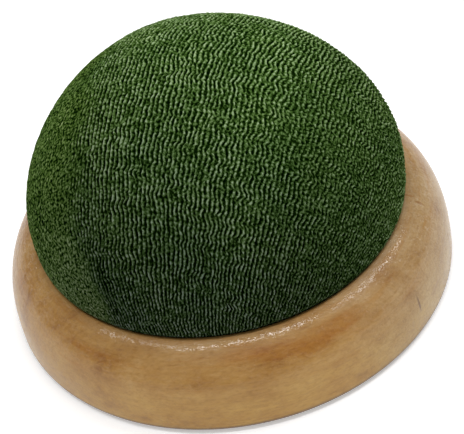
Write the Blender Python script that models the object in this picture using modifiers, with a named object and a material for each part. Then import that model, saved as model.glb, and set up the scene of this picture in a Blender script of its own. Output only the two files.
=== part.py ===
"""Pin cushion: a stuffed dome in a crepe cover, held in a turned wooden dish.

Metres, +Z up. The origin is the centre of the felt pad's underside, on which the
object stands. Every piece is turned about the Z axis or set out from it.
"""

import math

import bmesh
import bpy
from mathutils import Matrix, Vector

# Driving dimensions
BASE_RADIUS = 0.040
CONTACT_GAP = 0.0003
TURN_STEPS = 40
MERGE_DISTANCE = 0.00001

# Felt pad under the dish
FELT_RADIUS = 0.0335
FELT_THICKNESS = 0.0020
FELT_EDGE_ROUND = 0.0003
FELT_SIDE_GAP = 0.0005

# Wooden dish
DISH_FOOT_HEIGHT = 0.0005
DISH_FOOT_ROUND = 0.0009
RECESS_RADIUS = 0.80 * BASE_RADIUS
LIP_ROUND = 0.0009
LIP_TILT = 21.0
CREST_RADIUS = RECESS_RADIUS + LIP_ROUND
CREST_HEIGHT = 0.0155
WIDEST_HEIGHT = 0.0027
SIDE_CENTRE_RADIUS = 0.70 * BASE_RADIUS
SIDE_POWER = 2.5
RECESS_FLOOR = 0.0080
RECESS_FILLET = 0.0025
SCREW_HOLE_RADIUS = 0.0021
COUNTERBORE_RADIUS = 0.0050
COUNTERBORE_CEILING = 0.0055

# Crepe cover of the dome
COVER_THICKNESS = 0.0009
COVER_MOUTH_RADIUS = 0.0126
DOME_RADIUS = 0.8405 * BASE_RADIUS
DOME_WIDEST_HEIGHT = 0.0206
DOME_RISE = 0.0285
DOME_POWER = 1.85
BELLY_FOOT_HEIGHT = CREST_HEIGHT + 0.00025
NECK_FLARE = 0.0001

# Calico lining bag and what fills it
LINING_THICKNESS = 0.0004
LINING_MOUTH_RADIUS = 0.0060
INNER_CORNER_ROUND = 0.0015

# Plywood backing board inside the cover
BOARD_RADIUS = 0.0295
BOARD_THICKNESS = 0.0030
BOARD_EDGE_CHAMFER = 0.0004

# Threads that draw up the two mouths; tail and knot are in the thread's own radii
COVER_THREAD_RADIUS = 0.0003
LINING_THREAD_RADIUS = 0.00015
TAIL_INWARD_AND_ASIDE = ((10.0, 4.0), (5.0, 2.0), (1.5, 1.3))
RING_END_ASIDE = 2.0
KNOT_REACH = (2.6, 3.0, 1.4)
THREAD_STEPS = 36

# Screw and washer
SHANK_CORE_RADIUS = 0.00125
THREAD_CREST_RADIUS = 0.00175
THREAD_PITCH = 0.0013
ROWS_PER_PITCH = 5
SCREW_STEPS = 16
HEAD_RADIUS = 0.0033
HEAD_THICKNESS = 0.0018
HEAD_ROUND = 0.0011
CROSS_LENGTH = 0.0036
CROSS_WIDTH = 0.0009
CROSS_DEPTH = 0.0010
TIP_LENGTH = 0.0011
WASHER_RADIUS = 0.0045
WASHER_THICKNESS = 0.0008
WASHER_EDGE_ROUND = 0.0002

# Heights that follow from the pieces below them
FELT_CEILING = FELT_THICKNESS + CONTACT_GAP
COVER_BOTTOM = RECESS_FLOOR + CONTACT_GAP
BOARD_BOTTOM = COVER_BOTTOM + COVER_THICKNESS + CONTACT_GAP
BOARD_TOP = BOARD_BOTTOM + BOARD_THICKNESS
LINING_BOTTOM = BOARD_TOP + CONTACT_GAP
STUFFING_BOTTOM = LINING_BOTTOM + LINING_THICKNESS + CONTACT_GAP
LINING_INSET = COVER_THICKNESS + CONTACT_GAP
STUFFING_INSET = LINING_INSET + LINING_THICKNESS + CONTACT_GAP
HEAD_TOP = FELT_CEILING + HEAD_THICKNESS
WASHER_BOTTOM = HEAD_TOP + CONTACT_GAP
SCREW_TIP = BOARD_TOP - CONTACT_GAP

# Colour (linear red, green, blue), roughness and metallic value of each piece
FINISHES = {
    "felt_pad": ((0.035, 0.060, 0.030), 0.95, 0.0),
    "wooden_base": ((0.400, 0.240, 0.100), 0.35, 0.0),
    "crepe_cover": ((0.030, 0.052, 0.016), 0.85, 0.0),
    "lining_bag": ((0.620, 0.570, 0.450), 0.90, 0.0),
    "stuffing": ((0.780, 0.760, 0.700), 0.95, 0.0),
    "backing_board": ((0.520, 0.380, 0.220), 0.70, 0.0),
    "gathering_thread": ((0.050, 0.090, 0.030), 0.80, 0.0),
    "lining_thread": ((0.800, 0.780, 0.700), 0.80, 0.0),
    "fixing_screw": ((0.620, 0.600, 0.560), 0.35, 1.0),
    "screw_washer": ((0.560, 0.560, 0.570), 0.40, 1.0),
}


def clear_scene():
    """Removes the objects that the file opened with."""
    for old in list(bpy.data.objects):
        bpy.data.objects.remove(old)


def new_collection(name):
    """A collection of this name in the scene."""
    collection = bpy.data.collections.new(name)
    bpy.context.scene.collection.children.link(collection)
    return collection


clear_scene()
PARTS = new_collection("pin_cushion")
CUTTERS = new_collection("cutters")
ROOT = bpy.data.objects.new("pin_cushion_origin", None)
PARTS.objects.link(ROOT)


def finish_material(name):
    """The Principled material of one piece."""
    colour, roughness, metallic = FINISHES[name]
    material = bpy.data.materials.new(name)
    material.use_nodes = True
    shader = material.node_tree.nodes["Principled BSDF"]
    shader.inputs["Base Color"].default_value = (*colour, 1.0)
    shader.inputs["Roughness"].default_value = roughness
    shader.inputs["Metallic"].default_value = metallic
    material.diffuse_color = (*colour, 1.0)
    return material


def add_piece(name, data, height=0.0):
    """A named piece with its own material, set at a height above the origin."""
    piece = bpy.data.objects.new(name, data)
    PARTS.objects.link(piece)
    piece.parent = ROOT
    piece.location.z = height
    data.materials.append(finish_material(name))
    return piece


def add_cutter(name, mesh):
    """A shape that only cuts or joins, and isn't a piece itself."""
    cutter = bpy.data.objects.new(name, mesh)
    CUTTERS.objects.link(cutter)
    cutter.hide_render = True
    cutter.display_type = "WIRE"
    return cutter


def combine(piece, tool, operation):
    """An exact Boolean of the piece with a tool shape."""
    boolean = piece.modifiers.new(tool.name, "BOOLEAN")
    boolean.operation = operation
    boolean.solver = "EXACT"
    boolean.object = tool


def arc(centre, reach, start, end, steps, power=2.0):
    """Points on a quarter or less of a superellipse, from start to end in degrees."""
    points = []
    for step in range(steps + 1):
        angle = math.radians(start + (end - start) * step / steps)
        across = math.copysign(abs(math.cos(angle)) ** (2 / power), math.cos(angle))
        up = math.copysign(abs(math.sin(angle)) ** (2 / power), math.sin(angle))
        points.append((centre[0] + reach[0] * across, centre[1] + reach[1] * up))
    return points


def outline_mesh(name, outline, closed):
    """The outline as edges in the XZ plane, ready to be turned."""
    edges = [(index, index + 1) for index in range(len(outline) - 1)]
    if closed:
        edges.append((len(outline) - 1, 0))
    mesh = bpy.data.meshes.new(name)
    mesh.from_pydata([(radius, 0.0, height) for radius, height in outline], edges, [])
    return mesh


def turn(piece, steps=TURN_STEPS):
    """Turns the piece's outline round the Z axis."""
    screw = piece.modifiers.new("Turn", "SCREW")
    screw.axis = "Z"
    screw.steps = steps
    screw.render_steps = steps
    screw.use_merge_vertices = True
    screw.merge_threshold = MERGE_DISTANCE
    screw.use_smooth_shade = True


def turned_piece(name, outline, height=0.0, closed=False):
    """A piece turned from (radius, height) points that run down its outer side."""
    piece = add_piece(name, outline_mesh(name, outline, closed), height)
    turn(piece)
    return piece


def thicken(piece, thickness):
    """Gives a turned skin its thickness, inward from its outer face."""
    solidify = piece.modifiers.new("Thickness", "SOLIDIFY")
    solidify.thickness = thickness
    solidify.offset = -1.0
    solidify.use_even_offset = True


def round_edges(piece, width):
    """Takes the sharp edges off a piece."""
    bevel = piece.modifiers.new("Edges", "BEVEL")
    bevel.width = width
    bevel.segments = 1
    bevel.limit_method = "ANGLE"
    bevel.angle_limit = math.radians(50)


def mesh_from(name, shape):
    """A mesh made from a bmesh, which is then freed."""
    mesh = bpy.data.meshes.new(name)
    shape.to_mesh(mesh)
    shape.free()
    return mesh


def evaluated_mesh(piece):
    """The piece's mesh with its modifiers carried out."""
    evaluated = piece.evaluated_get(bpy.context.evaluated_depsgraph_get())
    return bpy.data.meshes.new_from_object(evaluated)


def dish_side(shoulder):
    """Outer side of the dish, from its shoulder beside the lip down to the widest height."""
    reach = BASE_RADIUS - SIDE_CENTRE_RADIUS
    start = math.acos(((shoulder[0] - SIDE_CENTRE_RADIUS) / reach) ** (SIDE_POWER / 2))
    rise = (shoulder[1] - WIDEST_HEIGHT) / math.sin(start) ** (2 / SIDE_POWER)
    centre = (SIDE_CENTRE_RADIUS, WIDEST_HEIGHT)
    return arc(centre, (reach, rise), math.degrees(start), 0, 10, SIDE_POWER)


def dish_outline():
    """Closed section of the dish: lip, side, foot, felt recess, screw hole, inner recess."""
    lip_centre = (CREST_RADIUS, CREST_HEIGHT - LIP_ROUND)
    lip = arc(lip_centre, (LIP_ROUND, LIP_ROUND), 180, 90 - LIP_TILT, 4)
    side = dish_side(lip[-1])
    foot_centre = (BASE_RADIUS - DISH_FOOT_ROUND, DISH_FOOT_HEIGHT + DISH_FOOT_ROUND)
    foot = arc(foot_centre, (DISH_FOOT_ROUND, DISH_FOOT_ROUND), 0, -90, 3)
    felt_recess_radius = FELT_RADIUS + FELT_SIDE_GAP
    underside = [
        (felt_recess_radius, DISH_FOOT_HEIGHT),
        (felt_recess_radius, FELT_CEILING),
        (COUNTERBORE_RADIUS, FELT_CEILING),
        (COUNTERBORE_RADIUS, COUNTERBORE_CEILING),
        (SCREW_HOLE_RADIUS, COUNTERBORE_CEILING),
        (SCREW_HOLE_RADIUS, RECESS_FLOOR),
    ]
    fillet_centre = (RECESS_RADIUS - RECESS_FILLET, RECESS_FLOOR + RECESS_FILLET)
    recess = arc(fillet_centre, (RECESS_FILLET, RECESS_FILLET), -90, 0, 3)
    return lip + side[1:] + foot + underside + recess


def dome_side():
    """Outer face of the stuffed dome, from its top down to where the dish's lip holds it."""
    dome = arc((0.0, DOME_WIDEST_HEIGHT), (DOME_RADIUS, DOME_RISE), 90, 0, 10, DOME_POWER)
    belly_centre = (RECESS_RADIUS, DOME_WIDEST_HEIGHT)
    belly_reach = (DOME_RADIUS - RECESS_RADIUS, DOME_WIDEST_HEIGHT - BELLY_FOOT_HEIGHT)
    belly = arc(belly_centre, belly_reach, 0, -80, 3)
    wall_radius = RECESS_RADIUS - CONTACT_GAP
    neck = [(wall_radius + NECK_FLARE, CREST_HEIGHT - CONTACT_GAP), (wall_radius, CREST_HEIGHT - LIP_ROUND)]
    return dome + belly[1:] + neck


def inset(outline, distance):
    """The dome's side moved inward by a distance, its top still on the axis."""
    top_radius, top_height = outline[0]
    moved = [(top_radius, top_height - distance)]
    for index in range(1, len(outline)):
        before = Vector(outline[index - 1])
        after = Vector(outline[min(index + 1, len(outline) - 1)])
        along = (after - before).normalized()
        radius, height = outline[index]
        moved.append((radius + distance * along.y, height - distance * along.x))
    return moved


def inner_outline(distance, bottom):
    """Side and rounded bottom corner of a piece inside the dome, down to a flat bottom."""
    lowest = bottom + INNER_CORNER_ROUND
    side = [point for point in inset(dome_side(), distance) if point[1] > lowest]
    wall_radius = RECESS_RADIUS - CONTACT_GAP - distance
    centre = (wall_radius - INNER_CORNER_ROUND, lowest)
    return side + arc(centre, (INNER_CORNER_ROUND, INNER_CORNER_ROUND), 0, -90, 3)


def make_felt_pad():
    """Round felt pad that closes the dish's underside and stands on the table."""
    disc = bmesh.new()
    bmesh.ops.create_cone(
        disc,
        cap_ends=True,
        segments=TURN_STEPS,
        radius1=FELT_RADIUS,
        radius2=FELT_RADIUS,
        depth=FELT_THICKNESS,
        matrix=Matrix.Translation((0.0, 0.0, FELT_THICKNESS / 2)),
    )
    round_edges(add_piece("felt_pad", mesh_from("felt_pad", disc)), FELT_EDGE_ROUND)


def make_wooden_base():
    """Turned dish with a rounded lip, a recess for the dome and one for the felt."""
    turned_piece("wooden_base", dish_outline(), closed=True)


def make_crepe_cover():
    """Crepe skin of the dome, gathered to a round mouth on its underside."""
    corner_centre = (RECESS_RADIUS - RECESS_FILLET, RECESS_FLOOR + RECESS_FILLET)
    corner_round = RECESS_FILLET - CONTACT_GAP
    corner = arc(corner_centre, (corner_round, corner_round), 0, -90, 3)
    mouth = [(COVER_MOUTH_RADIUS, COVER_BOTTOM)]
    thicken(turned_piece("crepe_cover", dome_side() + corner + mouth), COVER_THICKNESS)


def make_lining_bag():
    """Calico bag that holds the filling, with a gathered mouth underneath."""
    outline = inner_outline(LINING_INSET, LINING_BOTTOM) + [(LINING_MOUTH_RADIUS, LINING_BOTTOM)]
    thicken(turned_piece("lining_bag", outline), LINING_THICKNESS)


def make_stuffing():
    """The packed fibre filling, one firm body."""
    turned_piece("stuffing", inner_outline(STUFFING_INSET, STUFFING_BOTTOM) + [(0.0, STUFFING_BOTTOM)])


def make_backing_board():
    """Plywood disc that the cover is drawn round and that takes the screw."""
    outline = [
        (BOARD_RADIUS, BOARD_THICKNESS),
        (BOARD_RADIUS, 0.0),
        (THREAD_CREST_RADIUS + CONTACT_GAP, 0.0),
        (THREAD_CREST_RADIUS + CONTACT_GAP, BOARD_THICKNESS),
    ]
    board = turned_piece("backing_board", outline, BOARD_BOTTOM, closed=True)
    round_edges(board, BOARD_EDGE_CHAMFER)


def make_screw_washer():
    """Flat washer under the screw's head, in the counterbore."""
    outline = [
        (WASHER_RADIUS, WASHER_THICKNESS),
        (WASHER_RADIUS, 0.0),
        (THREAD_CREST_RADIUS + CONTACT_GAP, 0.0),
        (THREAD_CREST_RADIUS + CONTACT_GAP, WASHER_THICKNESS),
    ]
    washer = turned_piece("screw_washer", outline, WASHER_BOTTOM, closed=True)
    round_edges(washer, WASHER_EDGE_ROUND)


def cut_helical_thread(mesh, low, high):
    """Moves a shank's points in and out, so that a ridge climbs it once each pitch."""
    for vertex in mesh.vertices:
        if not low < vertex.co.z < high:
            continue
        turned_by = math.atan2(vertex.co.y, vertex.co.x) / math.tau
        phase = (vertex.co.z / THREAD_PITCH - turned_by) % 1.0
        ridge = 1.0 - abs(2.0 * phase - 1.0)
        reach = SHANK_CORE_RADIUS + (THREAD_CREST_RADIUS - SHANK_CORE_RADIUS) * ridge
        growth = reach / math.hypot(vertex.co.x, vertex.co.y)
        vertex.co.x *= growth
        vertex.co.y *= growth


def cross_recess_cutters():
    """Two crossed bars that cut the recess for a screwdriver into the head."""
    bars = {"cross_bar_a": (CROSS_LENGTH, CROSS_WIDTH), "cross_bar_b": (CROSS_WIDTH, CROSS_LENGTH)}
    place = Matrix.Translation((0.0, 0.0, FELT_CEILING))
    cutters = []
    for name, (length, width) in bars.items():
        bar = bmesh.new()
        size = Matrix.Diagonal((length, width, 2 * CROSS_DEPTH, 1.0))
        bmesh.ops.create_cube(bar, size=1.0, matrix=place @ size)
        cutters.append(add_cutter(name, mesh_from(name, bar)))
    return cutters


def make_fixing_screw():
    """Pan-head wood screw, head down, up through the dish into the backing board."""
    length = SCREW_TIP - FELT_CEILING
    thread_top = length - TIP_LENGTH
    row = THREAD_PITCH / ROWS_PER_PITCH
    rows = round((thread_top - HEAD_THICKNESS) / row)
    shank = [(SHANK_CORE_RADIUS, thread_top - index * row) for index in range(rows)]
    head_centre = (HEAD_RADIUS - HEAD_ROUND, HEAD_ROUND)
    head = arc(head_centre, (HEAD_ROUND, HEAD_ROUND), 0, -90, 3)
    outline = [(0.0, length), (SHANK_CORE_RADIUS / 2, length - TIP_LENGTH / 2)] + shank
    outline += [(SHANK_CORE_RADIUS, HEAD_THICKNESS), (HEAD_RADIUS, HEAD_THICKNESS)] + head + [(0.0, 0.0)]

    blank = bpy.data.objects.new("screw_blank", outline_mesh("screw_blank", outline, False))
    PARTS.objects.link(blank)
    turn(blank, SCREW_STEPS)
    mesh = evaluated_mesh(blank)
    bpy.data.objects.remove(blank)

    cut_helical_thread(mesh, HEAD_THICKNESS + row, thread_top)
    screw = add_piece("fixing_screw", mesh, FELT_CEILING)
    for cutter in cross_recess_cutters():
        combine(screw, cutter, "DIFFERENCE")


def thread_route(ring_radius, wire_radius):
    """Points of a drawn-up thread: a tail, one turn round the mouth, and the other tail."""
    end_angle = math.asin(RING_END_ASIDE * wire_radius / ring_radius)
    start = []
    for inward, aside in TAIL_INWARD_AND_ASIDE:
        start.append((ring_radius - inward * wire_radius, aside * wire_radius))
    ring = []
    for step in range(THREAD_STEPS + 1):
        angle = end_angle + (math.tau - 2 * end_angle) * step / THREAD_STEPS
        ring.append((ring_radius * math.cos(angle), ring_radius * math.sin(angle)))
    finish = [(across, -side) for across, side in reversed(start)]
    return start + ring + finish


def drawn_thread(name, mouth_radius, wire_radius, height):
    """A thread that draws up a round mouth and is knotted, with two short tails."""
    ring_radius = mouth_radius - wire_radius - CONTACT_GAP
    curve = bpy.data.curves.new(name, "CURVE")
    curve.dimensions = "3D"
    curve.bevel_depth = wire_radius
    curve.bevel_resolution = 1
    curve.use_fill_caps = True
    route = thread_route(ring_radius, wire_radius)
    spline = curve.splines.new("POLY")
    spline.points.add(len(route) - 1)
    for point, (across, side) in zip(spline.points, route):
        point.co = (across, side, 0.0, 1.0)

    wire = bpy.data.objects.new("wire", curve)
    PARTS.objects.link(wire)
    tube = bmesh.new()
    tube.from_mesh(evaluated_mesh(wire))
    bpy.data.objects.remove(wire)
    bmesh.ops.remove_doubles(tube, verts=tube.verts, dist=MERGE_DISTANCE)
    thread = add_piece(name, mesh_from(name, tube), height)

    knot = bmesh.new()
    size = Matrix.Diagonal((*(wire_radius * reach for reach in KNOT_REACH), 1.0))
    knot_radius = ring_radius + wire_radius * (1.0 - KNOT_REACH[0])
    place = Matrix.Translation((knot_radius, 0.0, height))
    bmesh.ops.create_icosphere(knot, subdivisions=2, radius=1.0, matrix=place @ size)
    knot_name = name + "_knot"
    combine(thread, add_cutter(knot_name, mesh_from(knot_name, knot)), "UNION")


def make_threads():
    """The thread in the cover's mouth and the finer one in the lining's mouth."""
    cover_height = COVER_BOTTOM + COVER_THICKNESS / 2
    lining_height = LINING_BOTTOM + LINING_THICKNESS / 2
    drawn_thread("gathering_thread", COVER_MOUTH_RADIUS, COVER_THREAD_RADIUS, cover_height)
    drawn_thread("lining_thread", LINING_MOUTH_RADIUS, LINING_THREAD_RADIUS, lining_height)


make_felt_pad()
make_wooden_base()
make_crepe_cover()
make_lining_bag()
make_stuffing()
make_backing_board()
make_screw_washer()
make_fixing_screw()
make_threads()
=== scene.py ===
"""Looks of the pin cushion: a green crepe dome with fine crinkled ribs in a turned wooden dish.

Everything is in metres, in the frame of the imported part: +Z up, origin under the felt pad.
"""

import math

import bmesh
import bpy
import numpy as np
from mathutils import Matrix, Quaternion, Vector, noise
from mathutils.bvhtree import BVHTree


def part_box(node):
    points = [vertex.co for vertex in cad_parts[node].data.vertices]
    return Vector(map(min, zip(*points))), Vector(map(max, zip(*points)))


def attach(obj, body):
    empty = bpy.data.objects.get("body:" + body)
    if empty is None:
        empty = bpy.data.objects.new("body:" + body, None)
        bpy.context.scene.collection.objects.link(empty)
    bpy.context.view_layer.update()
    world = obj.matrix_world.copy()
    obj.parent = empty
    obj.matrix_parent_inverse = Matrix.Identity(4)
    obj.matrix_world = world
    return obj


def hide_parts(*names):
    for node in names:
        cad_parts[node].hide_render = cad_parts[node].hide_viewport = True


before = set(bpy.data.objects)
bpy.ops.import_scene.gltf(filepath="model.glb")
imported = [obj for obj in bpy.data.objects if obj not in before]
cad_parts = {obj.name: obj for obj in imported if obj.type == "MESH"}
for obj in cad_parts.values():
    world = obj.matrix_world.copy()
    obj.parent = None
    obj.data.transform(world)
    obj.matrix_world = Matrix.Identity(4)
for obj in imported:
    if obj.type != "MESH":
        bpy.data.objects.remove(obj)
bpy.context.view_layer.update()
BODY = "root"
MM = 0.001

# Sizes read from the frame
DISH_LOW, DISH_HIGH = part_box("wooden_base")
COVER_LOW, COVER_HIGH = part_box("crepe_cover")
LINING_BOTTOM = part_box("lining_bag")[0][2]
STUFFING_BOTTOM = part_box("stuffing")[0][2]
FELT_LOW, FELT_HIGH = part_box("felt_pad")
BOARD_LOW, BOARD_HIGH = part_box("backing_board")
DISH_RADIUS = DISH_HIGH[0]
CREST_HEIGHT = DISH_HIGH[2]
DOME_RADIUS = COVER_HIGH[0]
DOME_TOP = COVER_HIGH[2]
COVER_BOTTOM = COVER_LOW[2]

# Shape of the dish and of the dome's section; the tilt and the belly's end are in degrees
RECESS_RADIUS = 0.80 * DISH_RADIUS
LIP_ROUND = 0.9 * MM
LIP_TILT = 21.0
SIDE_CENTRE_RADIUS = 0.70 * DISH_RADIUS
DISH_WIDEST_HEIGHT = 0.0675 * DISH_RADIUS
SIDE_POWER = 2.5
DOME_WIDEST_HEIGHT = 0.515 * DISH_RADIUS
DOME_POWER = 1.85
BELLY_POWER = 2.8
BELLY_END = -80
DOME_STEPS = 160
BELLY_STEPS = 30
BELLY_FOOT_HEIGHT = CREST_HEIGHT + 0.25 * MM
SKIN_GAP = 0.3 * MM
FOOT_ROUND = 0.9 * MM
COUNTERBORE_RADIUS = 5.0 * MM
COUNTERBORE_CEILING = 5.5 * MM
SCREW_HOLE_RADIUS = 2.1 * MM
DISH_STEPS = 288
LIP_STEPS = 16
SIDE_STEPS = 64
RECESS_FILLET = 2.5 * MM
MOUTH_RADIUS = 12.6 * MM
HEM_ROUND = 0.4 * MM
HEM_TURNED_IN = 3.0 * MM

# The crepe: a round cloth laid out flat, its ribs across one direction
RIB_PITCH = 0.84 * MM
COLUMNS_PER_RIB = 4
COLUMN_STEP = RIB_PITCH / COLUMNS_PER_RIB
ROW_STEP = 0.49 * MM
TUCKED_IN = 1.2 * MM
RIB_TURN = math.radians(-22.8)
RIB_HEIGHT = 0.21 * MM
RIB_MIDDLE = 0.3
RIB_SHARE_INSIDE = 0.35
CLOTH_SEED = 20
BEAD_ACROSS = 0.45 * MM
BEAD_ALONG = 0.50 * MM
BEAD_LIFT = 0.85
SLACK_BEADS = 0.3
GRAIN_SIZE = 0.55 * MM
GRAIN_DIP = 1.2
GRAIN_LIFT = 0.6
# The ribs' sideways wander: its share of a pitch, and its softness in mm across and along the ribs
WANDER_LAYERS = (
    (0.12, 0.8, 0.32),
    (0.15, 2.6, 0.50),
    (0.25, 7.0, 6.0),
)
# Where the ribs lie closer together or wider apart: place on the cloth, reach, and by what share
CLOSER_RIBS = (
    ((3.0 * MM, -5.0 * MM), 11.0 * MM, 0.09),
    ((-3.0 * MM, -38.0 * MM), 10.0 * MM, -0.09),
    ((27.0 * MM, -11.0 * MM), 10.0 * MM, -0.07),
)
# Where the ribs are stretched flatter, on the viewer's right
QUIET_PLACE = (26.0 * MM, -10.0 * MM)
QUIET_REACH = 15.0 * MM
QUIET_SHARE = 0.5
# Where the cloth is squeezed along its ribs, they lose their order from the first squeeze to the second
SQUEEZE_START = 0.05
SQUEEZE_END = 0.26
ORDER_LOST = 0.85
LOOSE_RIBS = 0.25
LOOSE_RIBS_SQUEEZED = 0.30
FINE_RELIEF = 0.20
CREST_ROUNDING = 0.30
# The slack, crinkled part on the viewer's left, and the deep pleat beside it
FLAT_EDGE = -17.5 * MM
FLAT_BEND = 3.5 * MM
FLAT_EDGE_WANDER = 1.0 * MM
FLAT_EDGE_SOFT = 3.0 * MM
PLEAT_PLACE = -12.4 * MM
PLEAT_WIDTH = 1.4 * MM
PLEAT_START = 34.5 * MM
PLEAT_DEPTH = 0.90
# The gathers under the board
GATHERS = 46
STEPS_PER_GATHER = 4
GATHER_DEPTH = 0.45 * MM
GATHERS_GROW_OVER = 0.7
UNDER_ROWS = 34
UNDER_OVERLAP = 0.3 * MM


def superellipse(centre, reach, start, end, steps, power=2.0):
    """Points (radius, height) on a superellipse arc from start to end degrees."""
    angle = np.radians(np.linspace(start, end, steps + 1))
    across = np.sign(np.cos(angle)) * np.abs(np.cos(angle)) ** (2 / power)
    up = np.sign(np.sin(angle)) * np.abs(np.sin(angle)) ** (2 / power)
    return np.stack([centre[0] + reach[0] * across, centre[1] + reach[1] * up], axis=1)


def cover_outline():
    """Outer face of the cover from the dome's top down to the recess floor and in to the mouth."""
    dome_reach = (DOME_RADIUS, DOME_TOP - DOME_WIDEST_HEIGHT)
    dome = superellipse((0.0, DOME_WIDEST_HEIGHT), dome_reach, 90, 0, DOME_STEPS, DOME_POWER)
    belly_reach = (DOME_RADIUS - RECESS_RADIUS, DOME_WIDEST_HEIGHT - BELLY_FOOT_HEIGHT)
    belly_centre = (RECESS_RADIUS, DOME_WIDEST_HEIGHT)
    belly = superellipse(belly_centre, belly_reach, 0, BELLY_END, BELLY_STEPS, BELLY_POWER)
    corner_centre = (RECESS_RADIUS - RECESS_FILLET, COVER_BOTTOM - SKIN_GAP + RECESS_FILLET)
    corner_reach = RECESS_FILLET - SKIN_GAP
    corner = superellipse(corner_centre, (corner_reach, corner_reach), 0, -90, 12)
    mouth = np.array([[MOUTH_RADIUS + HEM_ROUND, COVER_BOTTOM]])
    return np.concatenate([dome, belly[1:], corner, mouth])


def arc_lengths(outline):
    """Distance along an outline at each of its points."""
    steps = np.hypot(*np.diff(outline, axis=0).T)
    return np.concatenate([[0.0], np.cumsum(steps)])


def smoothstep(low, high, value):
    """Rises smoothly from 0 at low to 1 at high."""
    share = np.clip((value - low) / (high - low), 0.0, 1.0)
    return share * share * (3.0 - 2.0 * share)


def mesh_object(name, points, faces):
    """A smooth-shaded object from arrays of points and of faces with equal corner counts."""
    mesh = bpy.data.meshes.new(name)
    corners = faces.shape[1]
    mesh.vertices.add(len(points))
    mesh.vertices.foreach_set("co", points.astype(np.float32).ravel())
    mesh.loops.add(faces.size)
    mesh.loops.foreach_set("vertex_index", faces.astype(np.int32).ravel())
    mesh.polygons.add(len(faces))
    mesh.polygons.foreach_set("loop_start", np.arange(0, faces.size, corners, dtype=np.int32))
    mesh.update(calc_edges=True)
    mesh.validate()
    mesh.shade_smooth()
    piece = bpy.data.objects.new(name, mesh)
    bpy.context.scene.collection.objects.link(piece)
    return piece


def ring_faces(rows, steps):
    """Four-cornered faces between rows of points that each go once round."""
    row, sector = np.meshgrid(np.arange(rows - 1), np.arange(steps), indexing="ij")
    beside = (sector + 1) % steps
    here, below = row * steps, (row + 1) * steps
    return np.stack([here + sector, below + sector, below + beside, here + beside], axis=-1).reshape(-1, 4)


def turned_object(name, outline, steps, closed=False):
    """A piece turned about Z from an outline that runs down its outer side."""
    angles = np.arange(steps) * (2 * math.pi / steps)
    radius, height = np.asarray(outline).T
    x = radius[:, None] * np.cos(angles)
    y = radius[:, None] * np.sin(angles)
    z = np.repeat(height[:, None], steps, axis=1)
    points = np.stack([x, y, z], axis=-1).reshape(-1, 3)
    return mesh_object(name, points, ring_faces(len(outline) + closed, steps) % len(points))


def turned_grid(reach, steps):
    """Distances along an outline and angles round it, as two grids."""
    return np.meshgrid(reach, np.arange(steps) * (2 * math.pi / steps), indexing="ij")


def weld(piece, distance=0.01 * MM):
    """Joins points that coincide, as at the pole of a turned piece."""
    shape = bmesh.new()
    shape.from_mesh(piece.data)
    bmesh.ops.remove_doubles(shape, verts=shape.verts, dist=distance)
    shape.to_mesh(piece.data)
    shape.free()
    piece.data.shade_smooth()


# ---------------- stuffed form

# The simulation runs enlarged, so that its lengths are of the size the solver is made for
SIM_SCALE = 10.0
SIM_VOXEL = 1.7 * MM
SIM_FRAMES = 20
SIM_PRESSURE = 250.0
SIM_QUALITY = 6
SIM_STRETCH_STIFFNESS = 40.0
SIM_BEND_STIFFNESS = 2.0
FORM_STEPS = 128
SWELL_LIMIT = 1.0 * MM
START_INSET = 0.35 * MM
# Where the filling is packed more or less: direction from the dome's middle, and height of the lump
PACKING = (
    ((-0.457, 0.607, 0.650), 0.15 * MM),
    ((0.466, 0.603, 0.647), -0.40 * MM),
    ((0.926, 0.258, 0.276), 0.30 * MM),
    ((-0.840, 0.369, 0.396), -0.40 * MM),
)
PACKING_SPREAD = 0.45
FORM_BLEND = 3.0 * MM


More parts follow.
